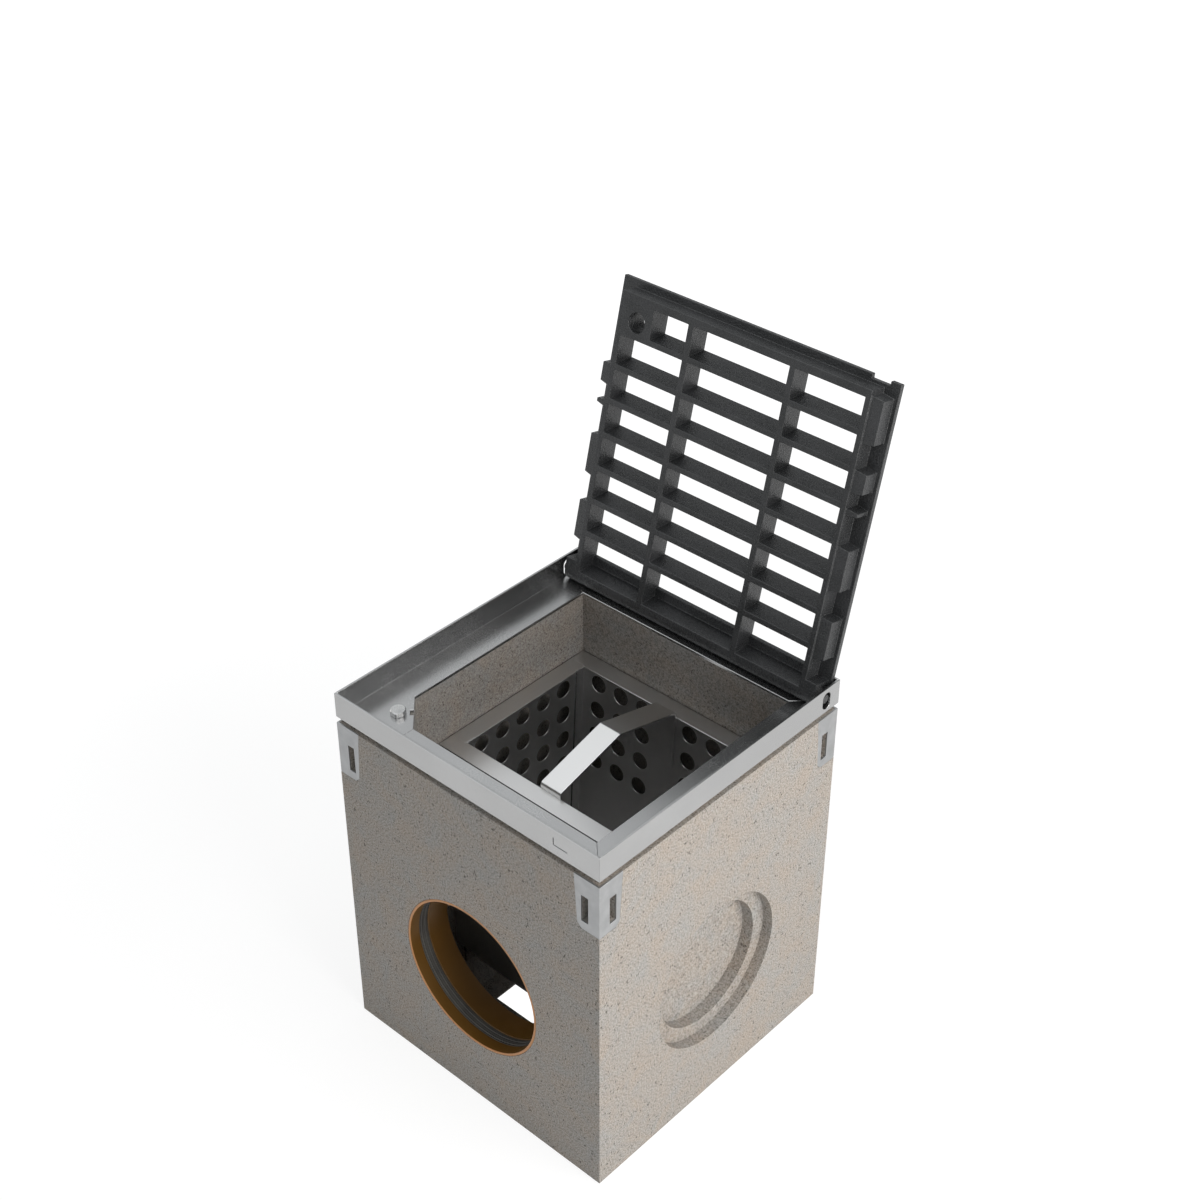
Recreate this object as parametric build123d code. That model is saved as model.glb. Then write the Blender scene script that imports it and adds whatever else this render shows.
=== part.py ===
from build123d import *
import math
import os

# plan and heights, mm
width = 400.0
concreteHeight = 459.0
neckHeight = 8.0
neckInset = 6.0
frameHeight = 33.0

# steel frame
legT = 3.0
ledgeT = 4.0
ledgeWidth = 40.0
lockLedgeWidth = 43.0
cornerCut = 41.0
latchSide = 9.0
slitT = 1.2
slitIn = 65.0
slitLen = 20.0
slitUp = 10.5
slitLow = 12.0

# cavity in the concrete
stepDepth = 84.0
stepWidth = 3.5
draft = 2.2
rebateH = 12.0
rebateW = 9.0

# pipe outlet and knock-out
pipeR = 100.0
pipeGap = 0.4
socketWall = 3.2
socketL = 48.0
stopL = 6.0
stopH = 5.4
grooveStart = 12.0
grooveW = 12.0
grooveDepth = 2.2
sealBack = 0.3
sealLip = 0.8
outletZ = 192.0
outletRun = 20.0
knockGap = 1.0
knockStep = 22.4
knockDepth = 8.0

# corner anchors
anchorT = 2.5
anchorTop = 36.0
anchorFoot = 31.5
anchorNip = 6.0
anchorH = 72.0
anchorSlotW = 10.0
anchorSlotH = 36.0
anchorSlotIn = 21.0
anchorSlotDown = 43.0
anchorPocket = 12.0

# locking bolt, M10
boltR = 5.0
boltLen = 30.0
boltInX = 9.0
boltInY = 7.0
headR = 9.8
headH = 6.4
boltHoleR = 7.4
nutSide = 17.0
nutH = 8.0
nutRoom = 0.5
threadGap = 0.08
boltWell = 7.0
wellDepth = 45.0

# hinge
hingeIn = 23.5
hingeDown = 15.8
pinR = 5.5
pinLen = 32.4
pinBack = 1.6
slotW = 14.0
slotH = 22.0
slotDown = 17.3
grateLean = 13.8

# grate
lugEdge = 5.5
beamEdge = 9.0
coreEdge = 25.0
coreFrontEdge = 15.0
plateT = 6.0
beamRun = 18.0
rows = 8
slotPitch = 42.5
slotTop = 26.0
slotLow = 36.0
slotFirst = 36.5
heelPocket = 13.0
crossX = 71.5
crossT = 8.0
slotMargin = 7.0
eyeGap = 2.2
eyeWall = 6.0
eyeClear = 22.0
tabW = 13.5
tabNotch = 24.0
tabDepth = 5.0
lugBack = 5.0
lugLow = 2.0
lugTop = 1.0
lugTaper = 8.0
lugSpans = [(15.5, 55.0), (99.5, 27.5), (144.5, 9.0), (189.0, 53.5), (275.0, 52.0)]

# sheet metal
fitGap = 0.3
sheet = 1.5
sideGap = 1.5
baffleFlange = 68.0
baffleLow = 77.0
baffleCut = 43.0
baffleGap = 1.5
bucketH = 350.0
bucketGap = 2.0
rimW = 22.0
backLean = 21.0
fold = 13.5
foldGap = 1.5
holeR = 11.5
holeSides = 16
holeRows = 4
holeDown = 15.0
holePitchZ = 38.5
holePitchX = 36.4
holePitchY = 35.0
holeFirst = 25.0

# bucket handle
strapW = 31.0
strapT = 2.5
legUp = 8.0
peakUp = 35.0
legDown = 72.0
legFront = 30.0
bendR = 2.0

half = width / 2
frameZ = concreteHeight + neckHeight
ledgeZ = frameZ + ledgeT
topZ = frameZ + frameHeight
stepZ = frameZ - stepDepth
openXm = -half + lockLedgeWidth
openXp = half - ledgeWidth
openY = half - ledgeWidth
inner = half - legT
taper = math.tan(math.radians(draft))
shrink = stepZ * taper
boreR = pipeR + pipeGap
outletR = boreR + socketWall
stopR = boreR - stopH
knockR = pipeR + knockGap
boltX = openXm + boltInX
boltY = -openY + boltInY
hingeY = half - hingeIn
hingeZ = topZ - hingeDown
os.makedirs("parts", exist_ok=True)


def save(shape, name):
    export_step(shape, "parts/" + name + ".step")


def block(x0, x1, y0, y1, z0, z1):
    return Pos((x0 + x1) / 2, (y0 + y1) / 2, (z0 + z1) / 2) * Box(x1 - x0, y1 - y0, z1 - z0)


def loop(*points):
    return Polyline(*points, close=True)


def prism(outline, z0, z1):
    # the outline is (x, y)
    return Pos(0, 0, z0) * extrude(make_face(outline), z1 - z0)


def sideSlab(outline, x0, x1):
    # the outline is (y, z); the slab runs from x0 to x1
    plane = Plane(origin=(x0, 0, 0), x_dir=(0, 1, 0), z_dir=(1, 0, 0))
    return plane * extrude(make_face(outline), x1 - x0)


def faceSlab(outline, y0, y1):
    # the outline is (x, z); the slab runs from y0 to y1
    plane = Plane(origin=(0, y1, 0), x_dir=(1, 0, 0), z_dir=(0, -1, 0))
    return plane * extrude(make_face(outline), y1 - y0)


def rod(r, centre, axis, length):
    return Plane(origin=centre, z_dir=axis) * extrude(Circle(r), length)


def punch(centre, axis, length):
    # a bucket hole; its outline has flats to keep the mesh light
    return Plane(origin=centre, z_dir=axis) * extrude(RegularPolygon(holeR, holeSides), length)


def turned(points):
    # (radius, depth from the -Y face) about the outlet's axis
    face = make_face(loop(*[(r, -half + depth, outletZ) for r, depth in points]))
    return revolve(face, Axis((0, 0, outletZ), (0, 1, 0)), 360)


def openingLoop(inset):
    # plan of the cavity, with the cut corner that carries the lock
    xm, xp, ym, yp = openXm + inset, openXp - inset, -openY + inset, openY - inset
    return loop((xm, yp), (xp, yp), (xp, ym), (xm + cornerCut, ym), (xm, ym + cornerCut))


# corner anchors: bent angles let in flush at the four corners
anchorLow = concreteHeight - anchorH


def anchorOutline(sign):
    return loop((sign * half, concreteHeight), (sign * (half - anchorTop), concreteHeight),
                (sign * (half - anchorFoot), anchorLow + anchorNip),
                (sign * (half - anchorFoot + anchorNip), anchorLow), (sign * half, anchorLow))


def anchorSlots(depth):
    near = half - anchorSlotIn - anchorSlotW / 2
    far = near + anchorSlotW
    z0 = concreteHeight - anchorSlotDown - anchorSlotH / 2
    z1 = z0 + anchorSlotH
    return (block(near, far, -half - 1, -half + depth, z0, z1)
            + block(half - depth, half + 1, -far, -near, z0, z1))


anchorBlank = faceSlab(anchorOutline(1), -half, -half + anchorT)
anchorBlank += sideSlab(anchorOutline(-1), half - anchorT, half)
anchor = anchorBlank - anchorSlots(anchorT + 1)
for k, place in enumerate(("front", "right", "back", "left")):
    save(Rot(0, 0, 90 * k) * anchor, "anchor_" + place)

# pipe socket cast into the -Y wall, with its lip seal
grooveEnd = grooveStart + grooveW
grooveR = boreR + grooveDepth
save(turned([(outletR, 0), (outletR, socketL), (stopR, socketL), (stopR, socketL - stopL), (boreR, socketL - stopL),
             (boreR, grooveEnd), (grooveR, grooveEnd), (grooveR, grooveStart), (boreR, grooveStart), (boreR, 0)]),
     "pipe_socket")
save(turned([(grooveR, grooveStart), (grooveR, grooveEnd), (boreR + sealBack, grooveEnd),
             (boreR + sealLip, grooveStart + grooveW / 2), (boreR + sealBack, grooveStart)]), "pipe_seal")

# concrete body
neck = half - neckInset
nutReach = nutSide / 2 + nutRoom
body = block(-half, half, -half, half, 0, concreteHeight)
body += block(-neck, neck, -neck, neck, concreteHeight, frameZ)
body -= prism(openingLoop(0), stepZ, frameZ + 1)
body -= loft([Pos(0, 0, stepZ) * make_face(openingLoop(stepWidth)), make_face(openingLoop(stepWidth + shrink))],
             ruled=True)
body -= prism(openingLoop(stepWidth + shrink - rebateW), -1, rebateH)
body -= turned([(0, -1), (outletR, -1), (outletR, socketL), (0, socketL)])
body -= rod(stopR, (0, -half + socketL - 1, outletZ), (0, 1, 0), outletRun)
body -= rod(knockR, (half + 1, 0, outletZ), (-1, 0, 0), knockDepth + 1)
body -= rod(knockR - knockStep, (half + 1, 0, outletZ), (-1, 0, 0), 2 * knockDepth + 1)
body -= block(boltX - nutReach, boltX + nutReach, boltY - nutReach, boltY + nutReach, frameZ - nutH - 1, frameZ + 1)
body -= rod(boltWell, (boltX, boltY, frameZ - wellDepth), (0, 0, 1), wellDepth)
for k in range(4):
    body -= Rot(0, 0, 90 * k) * (anchorBlank + anchorSlots(anchorPocket))
save(body, "body")

# frame: four mitred angles, legs up, ledges inward
slotMidZ = topZ - slotDown
slotRise = (slotH - slotW) / 2
ring = block(-half, half, -half, half, frameZ, topZ) - block(-inner, inner, -inner, inner, ledgeZ, topZ + 1)
ring -= prism(openingLoop(0), frameZ - 1, ledgeZ + 1)
ring -= rod(boltHoleR, (boltX, boltY, frameZ - 1), (0, 0, 1), ledgeT + 2)
ring -= Pos(openXm + cornerCut / 2, -openY + cornerCut / 2, ledgeZ) * Rot(0, 0, -45) * Box(
    latchSide, latchSide, 3 * ledgeT)
slitX = half - slitIn
slitZ = frameZ + slitLow
ring -= block(slitX, slitX + slitT, -half - 1, -inner + 1, slitZ, slitZ + slitUp)
ring -= block(slitX, slitX + slitLen, -half - 1, -inner + 1, slitZ, slitZ + slitT)
keySlot = block(-half - 1, half + 1, hingeY - slotW / 2, hingeY + slotW / 2,
                slotMidZ - slotRise, slotMidZ + slotRise)
for z in (slotMidZ - slotRise, slotMidZ + slotRise):
    keySlot += rod(slotW / 2, (-half - 1, hingeY, z), (1, 0, 0), width + 2)
ring -= keySlot
wedge = prism(loop((-half, -half), (0, 0), (half, -half)), frameZ, topZ)
lockArea = block(-inner, openXm + cornerCut, -inner, 0, frameZ, ledgeZ)
wedges = {"front": wedge - lockArea, "right": Rot(0, 0, 90) * wedge, "back": Rot(0, 0, 180) * wedge,
          "left": Rot(0, 0, 270) * wedge + lockArea}
for place, mask in wedges.items():
    save(ring & mask, "frame_" + place)

# lock: nut welded under the ledge, bolt standing on it
nutHalf = nutSide / 2
nut = block(boltX - nutHalf, boltX + nutHalf, boltY - nutHalf, boltY + nutHalf, frameZ - nutH, frameZ)
save(nut - rod(boltR + threadGap, (boltX, boltY, frameZ - nutH - 1), (0, 0, 1), nutH + 2), "lock_nut")
boltZ = ledgeZ + fitGap
bolt = rod(boltR, (boltX, boltY, boltZ - boltLen), (0, 0, 1), boltLen)
save(bolt + Pos(boltX, boltY, boltZ) * extrude(RegularPolygon(headR, 6), headH), "lock_bolt")

# grate, drawn closed, then swung open about the hinge axis
grateLow = ledgeZ + fitGap
rearR = hingeZ - grateLow
lean = math.radians(grateLean)
rearTop = hingeY + (rearR - (topZ - hingeZ) * math.sin(lean)) / math.cos(lean)
lug = half - lugEdge
core = half - coreEdge
coreFront = -half + coreFrontEdge


def grateSection(frontY):
    # flat top, back leaning to the ledge when open, round heel about the hinge axis
    heel = CenterArc((hingeY, hingeZ), rearR, -90, 90 + grateLean)
    return Polyline(heel @ 0, (frontY, grateLow), (frontY, topZ), (rearTop, topZ), heel @ 1) + heel


grate = sideSlab(grateSection(coreFront), -core, core)
grate += block(-lug, lug, -lug, hingeY, topZ - plateT, topZ)
grate += sideSlab(grateSection(hingeY - beamRun), -half + beamEdge, half - beamEdge)
slotEnd = core - slotMargin
columns = [(-slotEnd, -crossX - crossT / 2), (-crossX + crossT / 2, crossX - crossT / 2),
           (crossX + crossT / 2, slotEnd)]
for i in range(rows):
    yc = hingeY - slotFirst - i * slotPitch
    cut = loop((yc - slotTop / 2, topZ + 1), (yc + slotTop / 2, topZ + 1),
               (yc + slotLow / 2, grateLow - 1), (yc - slotLow / 2, grateLow - 1))
    for j, (a, b) in enumerate(columns):
        atLock = i == rows - 1 and j == 0
        grate -= sideSlab(cut, boltX + eyeClear if atLock else a, b)
# the row beside the hinge opens below into a pocket under the plate
pocketY = hingeY - slotFirst + slotLow / 2
pocket = loop((pocketY - slotLow / 2, grateLow - 1), (pocketY + heelPocket, grateLow - 1),
              (pocketY + heelPocket - plateT, topZ - plateT), (pocketY - slotLow / 2, topZ - plateT))
for a, b in columns:
    grate -= sideSlab(pocket, a, b)
eyeR = headR + eyeGap
grate += rod(eyeR + eyeWall, (boltX, boltY, grateLow), (0, 0, 1), topZ - grateLow)
grate -= rod(eyeR, (boltX, boltY, grateLow - 1), (0, 0, 1), topZ - grateLow + 2)
grate -= block(lug - tabW - tabNotch, lug - tabW, -lug - 1, -lug + tabDepth, grateLow - 1, topZ + 1)
lugH = topZ - lugTop - grateLow - lugLow
for i, (start, length) in enumerate(lugSpans):
    for side in (-1, 1):
        if i == 0 and side == -1:
            continue
        root = Plane(origin=(side * (core - 1), -lug + start + length / 2, grateLow + lugLow + lugH / 2),
                     x_dir=(0, 1, 0), z_dir=(side, 0, 0))
        grate += root * extrude(Rectangle(length, lugH), lug - lugBack - core + 1, taper=lugTaper)
swing = Pos(0, hingeY, hingeZ) * Rot(-(90 + grateLean), 0, 0) * Pos(0, -hingeY, -hingeZ)
for place, side in (("right", 1), ("left", -1)):
    pin = rod(pinR, (side * (half - pinBack - pinLen), hingeY, hingeZ), (side, 0, 0), pinLen)
    grate -= pin
    save(swing * pin, "hinge_pin_" + place)
save(swing * grate, "grate")

# baffle plate: flange on the step, plate hanging in front of the outlet
seatZ = stepZ + fitGap
sheetX0 = openXm + sideGap
sheetX1 = openXp - sideGap
baffleY0 = -openY + sideGap
baffleY1 = baffleY0 + baffleFlange
flange = prism(loop((sheetX0, baffleY1), (sheetX1, baffleY1), (sheetX1, baffleY0), (sheetX0 + baffleCut, baffleY0),
                    (sheetX0, baffleY0 + baffleCut)), seatZ, seatZ + sheet)
reach = (seatZ - baffleLow) * taper
plateX0 = openXm + stepWidth + baffleGap
plateX1 = openXp - stepWidth - baffleGap
plateLoop = loop((plateX0, seatZ), (plateX1, seatZ), (plateX1 - reach, baffleLow), (plateX0 + reach, baffleLow))
plate = faceSlab(plateLoop, baffleY1 - sheet, baffleY1)
save(flange + plate, "baffle_plate")

# silt bucket: folded panels, back wall leaning in towards the base
midX = (sheetX0 + sheetX1) / 2
rimY0 = baffleY1 + bucketGap
rimY1 = openY - sideGap
wallX = (sheetX1 - sheetX0) / 2 - rimW
wallY0 = rimY0 + rimW
wallY1 = rimY1 - rimW
bucketTop = seatZ + sheet
bucketLow = bucketTop - bucketH
slope = backLean / bucketH


def wallLoop(frontY, backY):
    # outline in (y, z) between a plumb front line and the leaning back line
    return loop((frontY, bucketLow), (backY - backLean, bucketLow), (backY, bucketTop), (frontY, bucketTop))


hollow = loop((wallY0 + sheet, bucketLow - 1), (wallY1 - backLean - sheet - slope, bucketLow - 1),
              (wallY1 - sheet + slope, bucketTop + 1), (wallY0 + sheet, bucketTop + 1))
tube = sideSlab(wallLoop(wallY0, wallY1), midX - wallX, midX + wallX)
tube -= sideSlab(hollow, midX - wallX + sheet, midX + wallX - sheet)
collar = block(sheetX0, sheetX1, rimY0, rimY1, seatZ, bucketTop)
collar -= block(midX - wallX, midX + wallX, wallY0, wallY1, seatZ - 1, bucketTop + 1)
seamY = wallY0 + fold
backFold = wallY1 - fold
front = tube & block(sheetX0, sheetX1, rimY0, seamY, bucketLow, bucketTop)
front += collar & block(sheetX0, sheetX1, rimY0, wallY0, seatZ, bucketTop)
backMask = loop((backFold - backLean, bucketLow), (rimY1, bucketLow), (rimY1, bucketTop), (backFold, bucketTop))
back = (tube & sideSlab(backMask, sheetX0, sheetX1)) + block(sheetX0, sheetX1, wallY1, rimY1, seatZ, bucketTop)
back += block(midX - wallX, midX + wallX, wallY1 - sheet / 2, rimY1, seatZ, bucketTop)
back -= sideSlab(loop((rimY0, bucketTop - 5), (wallY1 - sheet - 5 * slope, bucketTop - 5),
                      (wallY1 - sheet, bucketTop + 1), (rimY0, bucketTop + 1)),
                 midX - wallX + sheet, midX + wallX - sheet)
for r in range(holeRows):
    down = holeDown + r * holePitchZ
    for i in (-3, -2, -1, 1, 2, 3):
        x = midX + i * holePitchX
        front -= punch((x, wallY0 - sheet, bucketTop - down), (0, 1, 0), 3 * sheet)
        back -= punch((x, wallY1 - down * slope - 3 * sheet, bucketTop - down), (0, 1, 0), 5 * sheet)
save(front, "bucket_front")
save(back, "bucket_back")
for place, side in (("left", -1), ("right", 1)):
    panel = tube & sideSlab(wallLoop(seamY, backFold - foldGap), *sorted((midX, midX + side * (wallX + 1))))
    panel += collar & block(*sorted((midX, midX + side * (wallX + rimW))), wallY0, wallY1, seatZ, bucketTop)
    for r in range(holeRows):
        down = holeDown + r * holePitchZ
        for i in range(5):
            y = wallY0 + holeFirst + i * holePitchY - down * slope / 2
            panel -= punch((midX + side * (wallX + sheet), y, bucketTop - down), (-side, 0, 0), 3 * sheet)
    save(panel, "bucket_" + place)
floorY = wallY1 - backLean - sheet
save(sideSlab(loop((wallY0 + sheet, bucketLow), (floorY, bucketLow), (floorY + slope * sheet, bucketLow + sheet),
                   (wallY0 + sheet, bucketLow + sheet)), midX - wallX + sheet, midX + wallX - sheet), "bucket_base")

# handle: one strap folded as a low gable, welded inside the front and back walls
strapY0 = wallY0 + sheet
strapY1 = wallY1 - sheet
peakY = (strapY0 + strapY1) / 2
footY = strapY1 - legDown * slope
outerLine = [(strapY0, bucketTop - legFront), (strapY0, bucketTop + legUp), (peakY, bucketTop + peakUp),
             (strapY1, bucketTop + legUp), (strapY1, bucketTop), (footY, bucketTop - legDown)]
innerLine = [(footY - strapT, bucketTop - legDown), (strapY1 - strapT, bucketTop),
             (strapY1 - strapT, bucketTop + legUp - strapT), (peakY, bucketTop + peakUp - strapT),
             (strapY0 + strapT, bucketTop + legUp - strapT), (strapY0 + strapT, bucketTop - legFront)]
handle = sideSlab(loop(*(outerLine + innerLine)), midX - strapW / 2, midX + strapW / 2)
for radius, heights in ((bendR + strapT, (legUp, peakUp)), (bendR, (legUp - strapT, peakUp - strapT))):
    bends = handle.edges().filter_by(Axis.X).filter_by(lambda e: round(e.center().Z - bucketTop, 3) in heights)
    handle = fillet(bends, radius)
save(handle, "bucket_handle")
print("built", len(os.listdir("parts")), "pieces")
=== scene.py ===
import math
import bpy
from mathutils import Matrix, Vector


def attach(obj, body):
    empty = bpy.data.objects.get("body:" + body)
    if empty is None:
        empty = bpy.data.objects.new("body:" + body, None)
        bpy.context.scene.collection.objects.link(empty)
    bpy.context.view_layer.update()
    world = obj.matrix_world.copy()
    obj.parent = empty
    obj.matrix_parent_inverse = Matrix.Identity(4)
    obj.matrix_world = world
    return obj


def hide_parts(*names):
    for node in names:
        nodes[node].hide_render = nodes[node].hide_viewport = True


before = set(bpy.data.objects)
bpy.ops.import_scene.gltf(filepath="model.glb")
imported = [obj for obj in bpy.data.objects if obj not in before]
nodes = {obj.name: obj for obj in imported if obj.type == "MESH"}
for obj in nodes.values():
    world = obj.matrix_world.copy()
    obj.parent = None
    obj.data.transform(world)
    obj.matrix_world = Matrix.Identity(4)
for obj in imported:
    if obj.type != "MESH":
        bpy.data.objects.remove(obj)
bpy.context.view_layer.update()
scene = bpy.context.scene
print("stage: frame loaded", len(nodes), "nodes")

# the photograph's camera, worked out from the corners of the basin
camera = {"place": (1.2034, -1.2957, 1.8635), "tilt": 54.83, "turn": 42.46, "lens": 60.0, "sensor": 36.0}
camData = bpy.data.cameras.new("photoCamera")
camData.lens = camera["lens"]
camData.sensor_width = camera["sensor"]
camObject = bpy.data.objects.new("photoCamera", camData)
camObject.location = camera["place"]
camObject.rotation_euler = (math.radians(camera["tilt"]), 0.0, math.radians(camera["turn"]))
scene.collection.objects.link(camObject)
scene.camera = camObject

scene.view_settings.view_transform = "Standard"


# materials
def newMaterial(name):
    material = bpy.data.materials.new(name)
    material.use_nodes = True
    tree = material.node_tree
    return material, tree, tree.nodes["Principled BSDF"]


def addNode(tree, kind, **values):
    node = tree.nodes.new(kind)
    for key, value in values.items():
        setattr(node, key, value)
    return node


def setSockets(node, values):
    for key, value in values.items():
        node.inputs[key].default_value = value


def newGroup(name, inputs, outputs):
    group = bpy.data.node_groups.new(name, "ShaderNodeTree")
    for label, kind, default in inputs:
        socket = group.interface.new_socket(label, in_out="INPUT", socket_type=kind)
        socket.default_value = default
    for label, kind in outputs:
        group.interface.new_socket(label, in_out="OUTPUT", socket_type=kind)
    start = group.nodes.new("NodeGroupInput")
    end = group.nodes.new("NodeGroupOutput")
    return group, start, end


def placeGroup(tree, group, values):
    node = tree.nodes.new("ShaderNodeGroup")
    node.node_tree = group
    setSockets(node, values)
    return node


# what all grain has in common; each finish sets its own sizes below
grain = {"fineDetail": 3.0, "fineRough": 0.6, "patchDetail": 2.0, "patchRough": 0.5, "fineShare": 0.55,
         "patchShare": 0.45, "shareLow": 0.3, "shareHigh": 0.7, "toneLow": 0.32, "toneHigh": 0.68}


def makeGrainGroup():
    # fine noise stretched along one axis: brushing on sheet, sand in castings
    group, start, end = newGroup("surfaceGrain", [
        ("Vector", "NodeSocketVector", (0, 0, 0)), ("Stretch", "NodeSocketVector", (1, 1, 1)),
        ("Size", "NodeSocketFloat", 400.0), ("Patch Size", "NodeSocketFloat", 12.0),
        ("Low", "NodeSocketFloat", 0.3), ("High", "NodeSocketFloat", 0.5)], [
        ("Height", "NodeSocketFloat"), ("Roughness", "NodeSocketFloat"), ("Patch", "NodeSocketFloat")])
    links = group.links
    stretched = addNode(group, "ShaderNodeVectorMath", operation="MULTIPLY")
    links.new(start.outputs["Vector"], stretched.inputs[0])
    links.new(start.outputs["Stretch"], stretched.inputs[1])
    fine = addNode(group, "ShaderNodeTexNoise")
    setSockets(fine, {"Detail": grain["fineDetail"], "Roughness": grain["fineRough"]})
    links.new(stretched.outputs[0], fine.inputs["Vector"])
    links.new(start.outputs["Size"], fine.inputs["Scale"])
    patch = addNode(group, "ShaderNodeTexNoise")
    setSockets(patch, {"Detail": grain["patchDetail"], "Roughness": grain["patchRough"]})
    links.new(start.outputs["Vector"], patch.inputs["Vector"])
    links.new(start.outputs["Patch Size"], patch.inputs["Scale"])
    both = addNode(group, "ShaderNodeMath", operation="MULTIPLY_ADD")
    both.inputs[1].default_value = grain["fineShare"]
    half = addNode(group, "ShaderNodeMath", operation="MULTIPLY")
    half.inputs[1].default_value = grain["patchShare"]
    links.new(patch.outputs["Fac"], half.inputs[0])
    links.new(fine.outputs["Fac"], both.inputs[0])
    links.new(half.outputs[0], both.inputs[2])
    span = addNode(group, "ShaderNodeMapRange")
    setSockets(span, {"From Min": grain["shareLow"], "From Max": grain["shareHigh"]})
    links.new(both.outputs[0], span.inputs["Value"])
    links.new(start.outputs["Low"], span.inputs["To Min"])
    links.new(start.outputs["High"], span.inputs["To Max"])
    links.new(fine.outputs["Fac"], end.inputs["Height"])
    links.new(span.outputs["Result"], end.inputs["Roughness"])
    links.new(patch.outputs["Fac"], end.inputs["Patch"])
    return group


grainGroup = makeGrainGroup()


def mixColour(tree, factor, first, second):
    # first may be a socket or a colour; second is a colour
    mix = addNode(tree, "ShaderNodeMix", data_type="RGBA")
    mix.inputs["B"].default_value = (*second, 1)
    if isinstance(first, tuple):
        mix.inputs["A"].default_value = (*first, 1)
    else:
        tree.links.new(first, mix.inputs["A"])
    tree.links.new(factor, mix.inputs["Factor"])
    return mix.outputs["Result"]


def spread(tree, value, low, high, top=1.0):
    # nought at low, top at high
    span = addNode(tree, "ShaderNodeMapRange")
    setSockets(span, {"From Min": low, "From Max": high, "To Max": top})
    tree.links.new(value, span.inputs["Value"])
    return span.outputs["Result"]


def grainMaterial(name, settings):
    # one recipe for sheet steel, zinc, casting and plastic
    material, tree, shader = newMaterial(name)
    links = tree.links
    coords = addNode(tree, "ShaderNodeTexCoord")
    low, high = settings["rough"]
    surface = placeGroup(tree, grainGroup, {
        "Stretch": settings["stretch"], "Size": settings["size"], "Patch Size": settings["patchSize"],
        "Low": low, "High": high})
    links.new(coords.outputs["Object"], surface.inputs["Vector"])
    tone = spread(tree, surface.outputs["Patch"], grain["toneLow"], grain["toneHigh"])
    colour = mixColour(tree, tone, settings["dark"], settings["light"])
    # painted highlight: the pipe's end face at the mouth gets a lighter colour, standing for the light it
    # catches
    if "lip" in settings:
        axes = addNode(tree, "ShaderNodeSeparateXYZ")
        links.new(coords.outputs["Object"], axes.inputs[0])
        mouth = addNode(tree, "ShaderNodeMath", operation="LESS_THAN")
        mouth.inputs[1].default_value = settings["lipBefore"]
        links.new(axes.outputs["Y"], mouth.inputs[0])
        colour = mixColour(tree, mouth.outputs[0], colour, settings["lip"])
    links.new(colour, shader.inputs["Base Color"])
    links.new(surface.outputs["Roughness"], shader.inputs["Roughness"])
    shader.inputs["Metallic"].default_value = settings["metallic"]
    bump = addNode(tree, "ShaderNodeBump")
    setSockets(bump, {"Strength": settings["bump"], "Distance": settings["bumpDepth"]})
    links.new(surface.outputs["Height"], bump.inputs["Height"])
    links.new(bump.outputs["Normal"], shader.inputs["Normal"])
    return material


finishes = {
    "stainless": {
        "dark": (0.66, 0.655, 0.65), "light": (0.70, 0.695, 0.69), "metallic": 1.0, "rough": (0.29, 0.36),
        "stretch": (1, 1, 0.05), "size": 1500.0, "patchSize": 5.0, "bump": 0.05, "bumpDepth": 0.0001},
    # painted shade: a near-black sheet for the lap strips, standing for the shade in the open seams
    "lapShadow": {
        "dark": (0.020, 0.020, 0.020), "light": (0.030, 0.030, 0.030), "metallic": 0.0, "rough": (0.6, 0.8),
        "stretch": (1, 1, 1), "size": 900.0, "patchSize": 20.0, "bump": 0.05, "bumpDepth": 0.0001},
    "frameSteel": {
        "dark": (0.46, 0.46, 0.46), "light": (0.50, 0.50, 0.50), "metallic": 1.0, "rough": (0.22, 0.30),
        "stretch": (1, 1, 1), "size": 1200.0, "patchSize": 9.0, "bump": 0.05, "bumpDepth": 0.0002},
    "zinc": {
        "dark": (0.39, 0.395, 0.40), "light": (0.46, 0.465, 0.47), "metallic": 1.0, "rough": (0.42, 0.56),
        "stretch": (1, 1, 1), "size": 900.0, "patchSize": 70.0, "bump": 0.06, "bumpDepth": 0.0002},
    "boltSteel": {
        "dark": (0.50, 0.50, 0.50), "light": (0.62, 0.62, 0.61), "metallic": 1.0, "rough": (0.22, 0.32),
        "stretch": (1, 1, 1), "size": 1500.0, "patchSize": 60.0, "bump": 0.04, "bumpDepth": 0.0001},
    "castIron": {
        "dark": (0.024, 0.025, 0.026), "light": (0.038, 0.039, 0.041), "metallic": 0.0, "rough": (0.21, 0.34),
        "stretch": (1, 1, 1), "size": 480.0, "patchSize": 24.0, "bump": 0.85, "bumpDepth": 0.0010},
    # the pipe's lip colour is a painted highlight on the lit end face of the socket's mouth
    "brownPipe": {
        "dark": (0.128, 0.060, 0.009), "light": (0.155, 0.072, 0.012), "metallic": 0.0, "rough": (0.30, 0.40),
        "stretch": (1, 1, 1), "size": 300.0, "patchSize": 10.0, "bump": 0.03, "bumpDepth": 0.0002,
        "lip": (0.50, 0.22, 0.070), "lipBefore": -0.1993},
    "greySeal": {
        "dark": (0.060, 0.056, 0.052), "light": (0.095, 0.090, 0.082), "metallic": 0.0, "rough": (0.5, 0.62),
        "stretch": (1, 1, 1), "size": 700.0, "patchSize": 25.0, "bump": 0.08, "bumpDepth": 0.0002},
}
materials = {name: grainMaterial(name, settings) for name, settings in finishes.items()}


# the last two entries darken the walls inside the cavity as painted shade
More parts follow.
